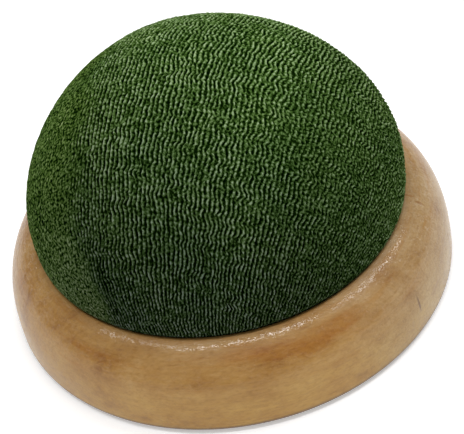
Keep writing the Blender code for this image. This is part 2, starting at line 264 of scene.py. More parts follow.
def simulated_form(outline):
    """The dome's form after the filling has pushed it out, as a search tree of its surface."""
    centre = np.array([0.0, 0.0, DOME_WIDEST_HEIGHT])
    start = turned_object("dome_form", np.concatenate([outline, [[0.0, COVER_BOTTOM]]]), FORM_STEPS)
    weld(start)
    points = np.empty(len(start.data.vertices) * 3)
    start.data.vertices.foreach_get("co", points)
    points = points.reshape(-1, 3)
    away = points - centre
    reach = np.linalg.norm(away, axis=1, keepdims=True)
    inset = np.full_like(reach, START_INSET)
    for direction, lump in PACKING:
        apart = np.linalg.norm(away / reach - direction, axis=1, keepdims=True)
        inset -= lump * np.exp(-((apart / PACKING_SPREAD) ** 2))
    inset *= smoothstep(BELLY_FOOT_HEIGHT, DOME_WIDEST_HEIGHT, points[:, 2:3])
    points = (centre + away * (1.0 - inset / reach)) * SIM_SCALE
    start.data.vertices.foreach_set("co", points.ravel())

    remesh = start.modifiers.new("Remesh", "REMESH")
    remesh.mode = "VOXEL"
    remesh.voxel_size = SIM_VOXEL * SIM_SCALE
    apply_modifiers(start)
    rest = vertex_array(start)
    held = start.vertex_groups.new(name="held")
    pinned = np.nonzero(rest[:, 2] < (BELLY_FOOT_HEIGHT + SIM_VOXEL) * SIM_SCALE)[0]
    held.add(pinned.tolist(), 1.0, "REPLACE")

    cloth = start.modifiers.new("Cloth", "CLOTH")
    cloth.settings.quality = SIM_QUALITY
    cloth.settings.tension_stiffness = SIM_STRETCH_STIFFNESS
    cloth.settings.compression_stiffness = SIM_STRETCH_STIFFNESS
    cloth.settings.bending_stiffness = SIM_BEND_STIFFNESS
    cloth.settings.use_pressure = True
    cloth.settings.uniform_pressure_force = SIM_PRESSURE
    cloth.settings.vertex_group_mass = "held"
    cloth.settings.effector_weights.gravity = 0.0
    cloth.point_cache.frame_start = 1
    cloth.point_cache.frame_end = SIM_FRAMES
    scene = bpy.context.scene
    for step in range(1, SIM_FRAMES + 1):
        scene.frame_set(step)
    apply_modifiers(start)
    scene.frame_set(1)

    moved = vertex_array(start)
    shift = (moved - rest) / SIM_SCALE
    length = np.linalg.norm(shift, axis=1, keepdims=True)
    shift *= np.minimum(1.0, SWELL_LIMIT / np.maximum(length, 1e-9))
    start.data.vertices.foreach_set("co", (rest / SIM_SCALE + shift).ravel())
    smooth = start.modifiers.new("Smooth", "SUBSURF")
    smooth.levels = smooth.render_levels = 1
    apply_modifiers(start)
    shape = bmesh.new()
    shape.from_mesh(start.data)
    tree = BVHTree.FromBMesh(shape)
    shape.free()
    bpy.data.objects.remove(start)
    return tree


def vertex_array(piece):
    """The piece's own points as an array."""
    points = np.empty(len(piece.data.vertices) * 3)
    piece.data.vertices.foreach_get("co", points)
    return points.reshape(-1, 3)


def apply_modifiers(piece):
    """Replaces the piece's mesh with what its modifiers make of it."""
    evaluated = piece.evaluated_get(bpy.context.evaluated_depsgraph_get())
    mesh = bpy.data.meshes.new_from_object(evaluated)
    piece.modifiers.clear()
    piece.data = mesh


# ---------------- crepe cover


def soft_noise(random, shape, across, along):
    """Smooth noise of unit deviation on the cloth's grid, with its softness across and along the ribs."""
    waves_across = np.fft.fftfreq(shape[0], COLUMN_STEP)[:, None]
    waves_along = np.fft.rfftfreq(shape[1], ROW_STEP)[None, :]
    kept = np.exp(-2 * (math.pi * across * waves_across) ** 2 - 2 * (math.pi * along * waves_along) ** 2)
    field = np.fft.irfft2(np.fft.rfft2(random.standard_normal(shape)) * kept, shape)
    return field / field.std()


def nearness(u, v, place, reach):
    """Falls softly from 1 at a place on the cloth to nothing well beyond the reach."""
    return np.exp(-((u - place[0]) ** 2 + (v - place[1]) ** 2) / reach**2)


def crepe_relief(u, v, squeeze):
    """Sideways wander of the ribs, in pitches, their height from -1 to 1, and where the cloth is slack."""
    random = np.random.default_rng(CLOTH_SEED)

    def rough(across, along):
        return soft_noise(random, u.shape, across * MM, along * MM)

    wander = sum(share * rough(across, along) for share, across, along in WANDER_LAYERS)
    for place, reach, share in CLOSER_RIBS:
        wander -= share * nearness(u, v, place, reach) * (u - place[0]) / RIB_PITCH

    slack_edge = FLAT_EDGE + FLAT_BEND * smoothstep(30.0 * MM, 38.0 * MM, -v)
    slack_edge = slack_edge + FLAT_EDGE_WANDER * rough(2.5, 2.5)
    pleat = np.exp(-(((u - PLEAT_PLACE) / PLEAT_WIDTH) ** 4)) * smoothstep(0.0, 3.0 * MM, -v - PLEAT_START)
    slack = smoothstep(-FLAT_EDGE_SOFT, FLAT_EDGE_SOFT, slack_edge - u) * (1.0 - pleat)

    order = 1.0 - ORDER_LOST * smoothstep(SQUEEZE_START, SQUEEZE_END, squeeze)
    order *= np.clip(1.0 + 0.08 * rough(3.0, 2.5), 0.6, 1.3)
    order += pleat * (1.0 - order)
    loose_cos = rough(0.7, 0.34)
    loose_sin = rough(0.7, 0.34)
    phase = 2 * math.pi * u / RIB_PITCH
    looseness = (LOOSE_RIBS + LOOSE_RIBS_SQUEEZED * (1.0 - order)) * (1.0 - 0.8 * pleat)
    height = order * np.cos(phase)
    height += looseness * (loose_cos * np.cos(phase) + loose_sin * np.sin(phase))
    height += FINE_RELIEF * rough(0.16, 0.34)
    height = height * (1.0 + 0.9 * pleat) - PLEAT_DEPTH * pleat
    height *= 1.0 - QUIET_SHARE * nearness(u, v, QUIET_PLACE, QUIET_REACH)

    crinkle = rough(0.20, 0.24)
    pits = rough(0.18, 0.20) * (1.0 + 0.5 * rough(2.0, 2.0))
    # The slack part rises towards the front: a little real relief, and painted light on the lower left
    # through the relief tones
    loose = 0.06 + 0.34 * smoothstep(22.0 * MM, 42.0 * MM, -v)
    loose += 0.16 * crinkle - 0.40 * np.clip(pits - 1.0, 0.0, 1.5)
    height += slack * (loose - height)
    height /= np.sqrt(1.0 + CREST_ROUNDING * height**2)
    return wander, height, slack


def surface_of(outline, reach, angle):
    """Points and outward normals of a turned outline, at distances along it and angles round it."""
    lengths = arc_lengths(outline)
    radius = np.interp(reach, lengths, outline[:, 0])
    height = np.interp(reach, lengths, outline[:, 1])
    normal_r = -np.interp(reach, lengths, np.gradient(outline[:, 1], lengths))
    normal_z = np.interp(reach, lengths, np.gradient(outline[:, 0], lengths))
    points = np.stack([radius * np.cos(angle), radius * np.sin(angle), height], axis=-1)
    normals = np.stack([normal_r * np.cos(angle), normal_r * np.sin(angle), normal_z], axis=-1)
    return points, normals


def gathered_underside(outline, start):
    """The cover from inside the dish's lip down and in to its drawn-up mouth, where a hem turns in."""
    hem_centre = (MOUTH_RADIUS + HEM_ROUND, COVER_BOTTOM + HEM_ROUND)
    hem = superellipse(hem_centre, (HEM_ROUND, HEM_ROUND), -90, -270, 8)
    turned_in = np.array([[MOUTH_RADIUS + HEM_TURNED_IN, COVER_BOTTOM + 2 * HEM_ROUND]])
    path = np.concatenate([outline, hem[1:], turned_in])
    end = arc_lengths(path)[-1]
    rows = np.linspace(start - UNDER_OVERLAP, end, UNDER_ROWS)
    reach, angle = turned_grid(rows, GATHERS * STEPS_PER_GATHER)
    points, normals = surface_of(path, reach, angle)
    drawn = smoothstep(start, start + GATHERS_GROW_OVER * (end - start), reach)
    # The folds sway a little, so that they aren't evenly spaced round the mouth
    sway = 0.8 * np.sin(3 * angle) + 0.5 * np.sin(7 * angle + 1.0)
    fold = np.cos(GATHERS * angle + sway)
    points = points - normals * (GATHER_DEPTH * drawn * (0.5 - 0.5 * fold))[..., None]
    flat = np.stack([reach * np.cos(angle), reach * np.sin(angle)], axis=-1)
    relief = 0.5 * fold * drawn
    return points.reshape(-1, 3), ring_faces(*reach.shape), relief.ravel(), flat.reshape(-1, 2)


def make_crepe_cover(outline, form):
    """The crepe over the dome: a grid in line with the ribs, laid on the stuffed form."""
    lengths = arc_lengths(outline)
    cloth_radius = TUCKED_IN + np.interp(-BELLY_FOOT_HEIGHT, -outline[:, 1], lengths)
    count_across = int(cloth_radius / COLUMN_STEP) + 2
    count_along = int(cloth_radius / ROW_STEP) + 2
    column = np.arange(-count_across, count_across + 1) * COLUMN_STEP
    row = np.arange(-count_along, count_along + 1) * ROW_STEP
    flat_u, flat_v = np.meshgrid(column, row, indexing="ij")

    reach = np.hypot(flat_u, flat_v)
    radius = np.interp(reach, lengths, outline[:, 0])
    narrowing = 1.0 - radius / np.maximum(reach, 1e-6)
    squeeze = narrowing * (flat_u / np.maximum(reach, 1e-6)) ** 2
    wander, relief, slack = crepe_relief(flat_u, flat_v, squeeze)
    u = flat_u + wander * RIB_PITCH

    reach = np.hypot(u, flat_v)
    inside = reach < cloth_radius
    whole = inside[:-1, :-1] | inside[1:, :-1] | inside[1:, 1:] | inside[:-1, 1:]
    pulled = np.minimum(1.0, cloth_radius / np.maximum(reach, 1e-6))
    reach = np.minimum(reach, cloth_radius)
    angle = np.arctan2(flat_v * pulled, u * pulled) + RIB_TURN

    points, normals = surface_of(outline, reach, angle)
    height = points[..., 2]
    if form is not None:
        points = lay_on_form(points, form)

    above_lip = smoothstep(BELLY_FOOT_HEIGHT - 0.5 * MM, BELLY_FOOT_HEIGHT + 2.5 * MM, height)
    rise = RIB_HEIGHT * (relief - RIB_MIDDLE) * (RIB_SHARE_INSIDE + (1.0 - RIB_SHARE_INSIDE) * above_lip)
    points = points + normals * rise[..., None]

    numbers = np.arange(u.size).reshape(u.shape)
    faces = np.stack([numbers[:-1, :-1], numbers[1:, :-1], numbers[1:, 1:], numbers[:-1, 1:]], axis=-1)
    faces = faces[whole]
    used, faces = np.unique(faces, return_inverse=True)
    faces = faces.reshape(-1, 4)
    under_points, under_faces, under_relief, under_flat = gathered_underside(outline, cloth_radius)
    points = np.concatenate([points.reshape(-1, 3)[used], under_points])
    faces = np.concatenate([faces, under_faces + len(used)])
    relief = np.concatenate([relief.ravel()[used], under_relief])
    slack = np.concatenate([slack.ravel()[used], np.zeros(len(under_relief))])
    flat = np.concatenate([np.stack([flat_u, flat_v], axis=-1).reshape(-1, 2)[used], under_flat])
    cover = mesh_object("crepe_cover_cloth", points, faces)
    for name, values in (("rib", relief), ("slack", slack)):
        numbers = cover.data.attributes.new(name, "FLOAT", "POINT")
        numbers.data.foreach_set("value", values.astype(np.float32))
    keep_flat_places(cover, flat, faces)
    return cover


def keep_flat_places(piece, flat, faces):
    """Keeps where each point lies on the flat cloth, in metres, as the mesh's UV."""
    layout = piece.data.uv_layers.new(name="cloth")
    layout.data.foreach_set("uv", flat[faces.ravel()].astype(np.float32).ravel())


def lay_on_form(points, tree, depth=0.0):
    """Moves points of the dome, along rays from its middle, onto the form's surface or a depth inside it."""
    centre = Vector((0.0, 0.0, DOME_WIDEST_HEIGHT))
    laid = points.reshape(-1, 3).copy()
    share = smoothstep(BELLY_FOOT_HEIGHT, BELLY_FOOT_HEIGHT + FORM_BLEND, laid[:, 2])
    for index in np.nonzero(share > 0.0)[0]:
        start = Vector(laid[index])
        hit = tree.ray_cast(centre, start - centre)[0]
        if hit is not None:
            goal = hit - depth * (start - centre).normalized()
            laid[index] = start.lerp(goal, share[index])
    return laid.reshape(points.shape)


# ---------------- wooden dish


def dish_outline():
    """Closed section of the dish: lip, side, foot, felt recess, screw hole and inner recess."""
    low = DISH_LOW[2]
    felt_radius = FELT_HIGH[0] + 0.5 * MM
    felt_ceiling = FELT_HIGH[2] + SKIN_GAP
    floor = COVER_BOTTOM - SKIN_GAP
    lip_centre = (RECESS_RADIUS + LIP_ROUND, CREST_HEIGHT - LIP_ROUND)
    lip = superellipse(lip_centre, (LIP_ROUND, LIP_ROUND), 180, 90 - LIP_TILT, LIP_STEPS)
    shoulder_radius, shoulder_height = lip[-1]
    reach = DISH_RADIUS - SIDE_CENTRE_RADIUS
    start = math.acos(((shoulder_radius - SIDE_CENTRE_RADIUS) / reach) ** (SIDE_POWER / 2))
    rise = (shoulder_height - DISH_WIDEST_HEIGHT) / math.sin(start) ** (2 / SIDE_POWER)
    side_centre = (SIDE_CENTRE_RADIUS, DISH_WIDEST_HEIGHT)
    side = superellipse(side_centre, (reach, rise), math.degrees(start), 0, SIDE_STEPS, SIDE_POWER)
    foot = superellipse((DISH_RADIUS - FOOT_ROUND, low + FOOT_ROUND), (FOOT_ROUND, FOOT_ROUND), 0, -90, 8)
    underside = np.array(
        [
            (felt_radius, low),
            (felt_radius, felt_ceiling),
            (COUNTERBORE_RADIUS, felt_ceiling),
            (COUNTERBORE_RADIUS, COUNTERBORE_CEILING),
            (SCREW_HOLE_RADIUS, COUNTERBORE_CEILING),
            (SCREW_HOLE_RADIUS, floor),
        ]
    )
    fillet_centre = (RECESS_RADIUS - RECESS_FILLET, floor + RECESS_FILLET)
    recess = superellipse(fillet_centre, (RECESS_FILLET, RECESS_FILLET), -90, 0, 8)
    return np.concatenate([lip, side[1:], foot, underside, recess])


def make_wooden_dish():
    """The turned dish, fine enough to show no facets."""
    return turned_object("wooden_dish", dish_outline(), DISH_STEPS, closed=True)


# ---------------- inner pieces

COVER_THICKNESS = 0.9 * MM
LINING_THICKNESS = 0.4 * MM
LINING_INSET = COVER_THICKNESS + SKIN_GAP
STUFFING_INSET = LINING_INSET + LINING_THICKNESS + SKIN_GAP
INNER_CORNER_ROUND = 1.5 * MM
LINING_MOUTH_RADIUS = 6.0 * MM
LINING_GATHERS = 34
LINING_STEPS_PER_GATHER = 6
LINING_ROWS = 110
LINING_WRINKLE = 0.12 * MM
LINING_FOLD = 0.30 * MM
LINING_DRAWN_FROM = 0.72
STUFFING_ROWS = 120
STUFFING_STEPS = 160
STUFFING_LUMP = 0.5 * MM
FELT_ROWS = 44
FELT_STEPS = 220
FELT_FUZZ = 0.14 * MM


def inner_outline(distance, bottom, end_radius):
    """The dome's side moved inward, a rounded lower corner, and a flat bottom in to a radius."""
    dome = cover_outline()
    dome = dome[dome[:, 1] > BELLY_FOOT_HEIGHT]
    slope = np.gradient(dome, axis=0)
    slope /= np.linalg.norm(slope, axis=1, keepdims=True)
    side = dome + distance * slope[:, ::-1] * (1.0, -1.0)
    side[0, 0] = 0.0
    lowest = bottom + INNER_CORNER_ROUND
    side = side[side[:, 1] > lowest]
    wall_radius = RECESS_RADIUS - SKIN_GAP - distance
    corner_centre = (wall_radius - INNER_CORNER_ROUND, lowest)
    corner = superellipse(corner_centre, (INNER_CORNER_ROUND, INNER_CORNER_ROUND), 0, -90, 10)
    return np.concatenate([side, corner, [[end_radius, bottom]]])


def crumple(points, scale, seed):
    """Smooth noise from about -1 to 1 at each point, with features about 1 / scale across."""
    offset = seed * Vector((1.0, 0.37, 0.71))
    values = [noise.fractal(scale * Vector(point) + offset, 0.6, 2.0, 3) for point in points.reshape(-1, 3)]
    return np.array(values).reshape(points.shape[:-1])


def make_lining_bag(form):
    """The calico bag inside the cover, wrinkled a little and drawn up round its mouth."""
    outline = inner_outline(LINING_INSET, LINING_BOTTOM, LINING_MOUTH_RADIUS)
    total = arc_lengths(outline)[-1]
    rows = np.linspace(0.0, total, LINING_ROWS)
    reach, angle = turned_grid(rows, LINING_GATHERS * LINING_STEPS_PER_GATHER)
    points, normals = surface_of(outline, reach, angle)
    if form is not None:
        points = lay_on_form(points, form, LINING_INSET)
    drawn = smoothstep(LINING_DRAWN_FROM * total, total, reach)
    fold = 0.5 - 0.5 * np.cos(LINING_GATHERS * angle + 0.9 * np.sin(5 * angle))
    sunk = LINING_WRINKLE * (0.5 + 0.5 * crumple(points, 160.0, 3.0)) + LINING_FOLD * drawn * fold
    points = points - normals * sunk[..., None]
    faces = ring_faces(*reach.shape)
    bag = mesh_object("calico_lining", points.reshape(-1, 3), faces)
    flat = np.stack([reach * np.cos(angle), reach * np.sin(angle)], axis=-1).reshape(-1, 2)
    keep_flat_places(bag, flat, faces)
    weld(bag)
    return bag


def make_stuffing(form):
    """The packed fibre filling, a little lumpy."""
    outline = inner_outline(STUFFING_INSET, STUFFING_BOTTOM, 0.0)
    total = arc_lengths(outline)[-1]
    reach, angle = turned_grid(np.linspace(0.0, total, STUFFING_ROWS), STUFFING_STEPS)
    points, normals = surface_of(outline, reach, angle)
    if form is not None:
        points = lay_on_form(points, form, STUFFING_INSET)
    lumps = 0.5 + 0.35 * crumple(points, 120.0, 11.0) + 0.15 * crumple(points, 700.0, 5.0)
    points = points - normals * (STUFFING_LUMP * np.clip(lumps, 0.0, 1.0))[..., None]
    filling = mesh_object("fibre_filling", points.reshape(-1, 3), ring_faces(*reach.shape))
    weld(filling)
    return filling


def make_felt_pad():
    """A disc of thick wool felt with a soft edge and fuzzy faces."""
    radius = FELT_HIGH[0]
    half = 0.5 * (FELT_HIGH[2] - FELT_LOW[2])
    middle = FELT_LOW[2] + half
    across = np.linspace(0.0, radius - half, FELT_ROWS)
    top = np.stack([across, np.full(FELT_ROWS, middle + half)], axis=1)
    edge = superellipse((radius - half, middle), (half, half), 90, -90, 12, 3.0)
    bottom = np.stack([across[::-1], np.full(FELT_ROWS, middle - half)], axis=1)
    outline = np.concatenate([top, edge[1:-1], bottom])
    reach, angle = turned_grid(arc_lengths(outline), FELT_STEPS)
    points, normals = surface_of(outline, reach, angle)
    fuzz = 0.5 + 0.3 * crumple(points, 500.0, 2.0) + 0.2 * crumple(points, 1600.0, 7.0)
    points = points - normals * (FELT_FUZZ * np.clip(fuzz, 0.0, 1.0))[..., None]
    pad = mesh_object("wool_felt_pad", points.reshape(-1, 3), ring_faces(*reach.shape))
    weld(pad)
    return pad


# Threads: tail points are inward and aside from the ring, in the thread's own radii
COVER_THREAD_RADIUS = 0.3 * MM
LINING_THREAD_RADIUS = 0.15 * MM
TAIL_INWARD_AND_ASIDE = ((10.0, 4.0), (5.0, 2.0), (1.5, 1.3))
RING_END_ASIDE = 2.0
RING_STEPS = 90
KNOT_STEPS = 120
KNOT_CENTRE_INWARD = 1.6
KNOT_LOOP = (0.62, 0.75, 0.65)
KNOT_STRAND = 0.72
THREAD_PLIES = 3
PLY_GROOVE = 0.26
THREAD_SIDES = 18
TWIST_PITCH = 7.0


def twisted_tube(path, radius, closed):
    """Points and faces of a twisted thread of several plies along a path."""
    if closed:
        forward = np.roll(path, -1, axis=0) - np.roll(path, 1, axis=0)
    else:
        forward = np.gradient(path, axis=0)
    forward /= np.linalg.norm(forward, axis=1, keepdims=True)
    side = np.cross(forward, (0.0, 0.0, 1.0))
    side /= np.linalg.norm(side, axis=1, keepdims=True)
    over = np.cross(forward, side)
    steps = np.linalg.norm(np.diff(path, axis=0, append=path[:1]), axis=1)
    along = np.concatenate([[0.0], np.cumsum(steps)[:-1]])
    turns = along / (TWIST_PITCH * radius)
    if closed:
        whole_turns = float(along[-1] + steps[-1]) / (TWIST_PITCH * radius)
        turns *= round(whole_turns) / whole_turns
    angle = np.arange(THREAD_SIDES) * (2 * math.pi / THREAD_SIDES)
    phase = 0.5 * THREAD_PLIES * (angle[None, :] - 2 * math.pi * turns[:, None])
    reach = radius * (1.0 - PLY_GROOVE + PLY_GROOVE * np.abs(np.cos(phase)))
    if not closed:
        ends = np.minimum(along, along[-1] - along)
        reach = reach * np.sqrt(np.clip(ends / radius, 0.0, 1.0))[:, None]
    wave_side = (reach * np.cos(angle))[..., None] * side[:, None]
    wave_over = (reach * np.sin(angle))[..., None] * over[:, None]
    points = (path[:, None] + wave_side + wave_over).reshape(-1, 3)
    faces = ring_faces(len(path) + closed, THREAD_SIDES) % len(points)
    return points, faces


def smooth_path(corners, step):
    """A rounded path through corner points, as points about a step apart."""
    path = np.asarray(corners, float)
    for _ in range(3):
        quarter = 0.75 * path[:-1] + 0.25 * path[1:]
        three = 0.25 * path[:-1] + 0.75 * path[1:]
        cut = np.stack([quarter, three], axis=1).reshape(-1, 3)
        path = np.concatenate([path[:1], cut, path[-1:]])
    lengths = np.concatenate([[0.0], np.cumsum(np.linalg.norm(np.diff(path, axis=0), axis=1))])
    places = np.linspace(0.0, lengths[-1], int(lengths[-1] / step) + 2)
    return np.stack([np.interp(places, lengths, path[:, axis]) for axis in range(3)], axis=1)


def drawn_thread(name, mouth_radius, radius, height):
    """A twisted thread once round a drawn-up mouth, tied in a knot that leaves two tails."""
    ring = mouth_radius - radius - SKIN_GAP
    end_angle = math.asin(RING_END_ASIDE * radius / ring)
    tail = [(ring - inward * radius, aside * radius, height) for inward, aside in TAIL_INWARD_AND_ASIDE]
    angles = np.linspace(end_angle, 2 * math.pi - end_angle, RING_STEPS)
    loop = [(ring * math.cos(angle), ring * math.sin(angle), height) for angle in angles]
    other_tail = [(across, -side, up) for across, side, up in reversed(tail)]
    points, faces = twisted_tube(smooth_path(tail + loop + other_tail, 0.45 * radius), radius, False)
    turn = np.arange(KNOT_STEPS) * (2 * math.pi / KNOT_STEPS)
    knot = np.stack(
        [
            KNOT_LOOP[0] * (np.sin(turn) + 2 * np.sin(2 * turn)),
            KNOT_LOOP[1] * (np.cos(turn) - 2 * np.cos(2 * turn)),
            KNOT_LOOP[2] * np.sin(3 * turn),
        ],
        axis=1,
    )
    knot = radius * knot + (ring - KNOT_CENTRE_INWARD * radius, 0.0, height)
    knot_points, knot_faces = twisted_tube(knot, KNOT_STRAND * radius, True)
    faces = np.concatenate([faces, knot_faces + len(points)])
    return mesh_object(name, np.concatenate([points, knot_points]), faces)


# ---------------- materials

TURNING_PITCH = 0.55 * MM
TURNING_AROUND = 7.0
YARN_PERIOD = 0.9 * MM

# Colours by height: the green dye with painted shade in the near-black grooves, green slopes, and a painted
# highlight on the pale crests
CREPE_DYE_AND_SHADE_TONES = (
    (0.0, (0.0002, 0.0030, 0.0001)),
    (0.33, (0.0058, 0.0190, 0.0012)),
    (0.60, (0.0620, 0.1200, 0.0260)),
    (0.80, (0.1500, 0.2250, 0.0900)),
    (1.0, (0.2900, 0.3800, 0.2200)),
)
CREPE_CLOUDS = ((0.3, (0.86, 0.88, 0.86)), (0.7, (1.11, 1.07, 1.03)))
# Painted shade on the near, lower part of the cloth and painted light on its far part
CREPE_NEAR_PAINTED_SHADE = (0.57, 0.55, 0.80)
CREPE_FAR_PAINTED_LIGHT = (1.47, 1.52, 1.43)
CREPE_SLACK_TINT = (1.05, 1.02, 0.80)
CREPE_EDGE = 1.125 * DISH_RADIUS
# Painted shade across the cloth's width, as brightness from its left edge at 0 to its right edge at 1
SIDE_PAINTED_SHADE = (
    (0.03, 1.00),
    (0.14, 1.02),
    (0.24, 0.86),
    (0.30, 0.75),
    (0.35, 0.70),
    (0.42, 0.81),
    (0.55, 0.89),
    (0.68, 0.93),
    (0.79, 0.71),
    (0.92, 0.63),
)

WOOD_TONES = (
    (0.30, (0.328, 0.148, 0.034)),
    (0.43, (0.451, 0.235, 0.065)),
    (0.57, (0.513, 0.288, 0.092)),
    (0.74, (0.570, 0.348, 0.140)),
)
TURNING_TONES = ((0.32, (0.91, 0.87, 0.82)), (0.50, (1.0, 1.0, 1.0)), (0.75, (1.05, 1.06, 1.08)))
PORE_TONES = ((0.32, (0.90, 0.86, 0.80)), (0.50, (1.0, 1.0, 1.0)), (0.70, (1.05, 1.06, 1.08)))
# Tints for the painted reflection of the white surroundings on the right and front right
RIGHT_PAINTED_REFLECTION_TINT = (0.84, 0.92, 0.98)
YELLOWED_TINT = (1.02, 1.02, 0.64)
FRONT_RIGHT_PAINTED_REFLECTION_TINT = (0.96, 1.12, 1.75)
STREAK_TINT = (0.90, 0.78, 0.58)
STAIN_TINT = (0.90, 0.77, 0.56)
FOOT_PAINTED_SHADOW = (0.14, 0.075, 0.03)
PAINTED_REFLECTION_SIDE = (math.cos(math.radians(-30.0)), math.sin(math.radians(-30.0)), 0.0)


def on_dish(azimuth, height):
    """The point of the dish's outer side at an azimuth in degrees and a height."""
    outside = dish_outline()[LIP_STEPS : LIP_STEPS + SIDE_STEPS + 1]
    radius = float(np.interp(-height, -outside[:, 1], outside[:, 0]))
    turn = math.radians(azimuth)
    return (radius * math.cos(turn), radius * math.sin(turn), height)


# A scratch, a knot and its streak: middle, reach along three axes, turn in degrees about Z, tint
WOOD_MARKS = [
    (on_dish(-42.7, 7.0 * MM), (0.35 * MM, 1.5 * MM, 2.4 * MM), 47.0, (0.50, 0.42, 0.34)),
    (on_dish(-17.0, 14.3 * MM), (1.3 * MM, 0.45 * MM, 1.6 * MM), -17.0, (0.72, 0.58, 0.42)),
    (on_dish(-15.5, 15.4 * MM), (2.6 * MM, 0.35 * MM, 1.6 * MM), -12.0, (0.82, 0.66, 0.50)),
]
# Browner patches under the rolled lip: azimuth in degrees, then height, reach round and reach up in mm
WOOD_STAINS = (
    (-66.0, 13.2, 6.0, 1.6),
    (-75.0, 12.6, 5.5, 2.2),
    (-84.0, 13.4, 6.5, 1.8),
    (-93.0, 13.9, 6.0, 1.2),
)
STAIN_DEPTH = 3.0 * MM
for azimuth, height, reach_round, reach_up in WOOD_STAINS:
    reach = (reach_round * MM, STAIN_DEPTH, reach_up * MM)
    WOOD_MARKS.append((on_dish(azimuth, height * MM), reach, azimuth + 90.0, STAIN_TINT))


class Shading:
    """A new Principled material, with short ways to add nodes to it."""

    def __init__(self, name, **inputs):
        self.material = bpy.data.materials.new(name)
        self.material.use_nodes = True
        self.tree = self.material.node_tree
        self.shader = self.tree.nodes["Principled BSDF"]
        for label, value in inputs.items():
            self.shader.inputs[label.replace("_", " ")].default_value = value

    def add(self, kind, inputs=(), **settings):
        """A node with its settings; each input is given a value, or linked to another node's output."""
        made = self.tree.nodes.new(kind)
        for name, value in settings.items():
            setattr(made, name, value)
        for name, value in inputs:
            if isinstance(value, bpy.types.NodeSocket):
                self.tree.links.new(value, made.inputs[name])
            else:
                made.inputs[name].default_value = value
        return made

    def place(self):
        """Where a point lies on the object."""
        return self.add("ShaderNodeTexCoord").outputs["Object"]

    def uv(self):
        """Where a point lies on the flat cloth, in metres."""
        return self.add("ShaderNodeUVMap", uv_map="cloth").outputs["UV"]

    def attribute(self, name):
        """A number kept at the mesh's points."""
        return self.add("ShaderNodeAttribute", attribute_name=name).outputs["Fac"]

    def split(self, vector):
        """The three parts of a vector."""
        return self.add("ShaderNodeSeparateXYZ", [("Vector", vector)]).outputs[:]

    def joined(self, *parts):
        """A vector from its parts."""
        return self.add("ShaderNodeCombineXYZ", enumerate(parts)).outputs["Vector"]

    def maths(self, operation, *values):
        """A sum with numbers."""
        return self.add("ShaderNodeMath", enumerate(values), operation=operation).outputs["Value"]

    def vector_maths(self, result, operation, *values):
        """A sum with vectors."""
        return self.add("ShaderNodeVectorMath", enumerate(values), operation=operation).outputs[result]

    def stretched(self, vector, scale, turn=(0.0, 0.0, 0.0)):
        """A vector turned and scaled."""
        inputs = [("Vector", vector), ("Rotation", turn), ("Scale", scale)]
        return self.add("ShaderNodeMapping", inputs).outputs["Vector"]

    def noise(self, vector, scale, detail=3.0, roughness=0.6, dimensions="3D", w=None):
        """Noise from 0 to 1, its features about 1 / scale across."""
        inputs = [("Vector", vector), ("Scale", scale), ("Detail", detail), ("Roughness", roughness)]
        if w is not None:
            inputs.append(("W", w))
        return self.add("ShaderNodeTexNoise", inputs, noise_dimensions=dimensions).outputs["Fac"]

    def ranged(self, value, start, end, low=0.0, high=1.0, kind="SMOOTHSTEP"):
        """Goes from low to high as the value goes from start to end."""
        limits = [("From Min", start), ("From Max", end), ("To Min", low), ("To Max", high)]
        made = self.add("ShaderNodeMapRange", [("Value", value), *limits], interpolation_type=kind)
        return made.outputs["Result"]

    def ramp(self, value, stops, interpolation="LINEAR"):
        """A colour read from (place, colour) stops."""
        made = self.add("ShaderNodeValToRGB", [("Fac", value)])
        made.color_ramp.interpolation = interpolation
        elements = made.color_ramp.elements
        for index, (place, colour) in enumerate(stops):
            element = elements[index] if index < 2 else elements.new(place)
            element.position = place
            element.color = (*colour, 1.0)
        return made.outputs["Color"]

    def blend(self, mode, first, second, share):
        """Two colours combined in a blend mode."""
        inputs = [("Factor", share)]
        for label, side in (("A", first), ("B", second)):
            inputs.append((label, side if isinstance(side, bpy.types.NodeSocket) else (*side, 1.0)))
        return self.add("ShaderNodeMix", inputs, data_type="RGBA", blend_type=mode).outputs["Result"]

    def times(self, colour, tint, share=1.0):
        """A colour multiplied by a tint."""
        return self.blend("MULTIPLY", colour, tint, share)

    def bump(self, height, strength, distance, over=None):
        """A normal tilted by a height, on top of another bump if one is given."""
        inputs = [("Height", height), ("Strength", strength), ("Distance", distance)]
        if over is not None:
            inputs.append(("Normal", over))
        return self.add("ShaderNodeBump", inputs).outputs["Normal"]

    def finished(self, colour, normal, rough=None):
        """The material with its colour, its normal and, as (source, low, high), its roughness linked."""
        self.tree.links.new(colour, self.shader.inputs["Base Color"])
        self.tree.links.new(normal, self.shader.inputs["Normal"])
        if rough is not None:
            source, low, high = rough
            roughness = self.ranged(source, 0.0, 1.0, low, high, "LINEAR")
            self.tree.links.new(roughness, self.shader.inputs["Roughness"])
        return self.material


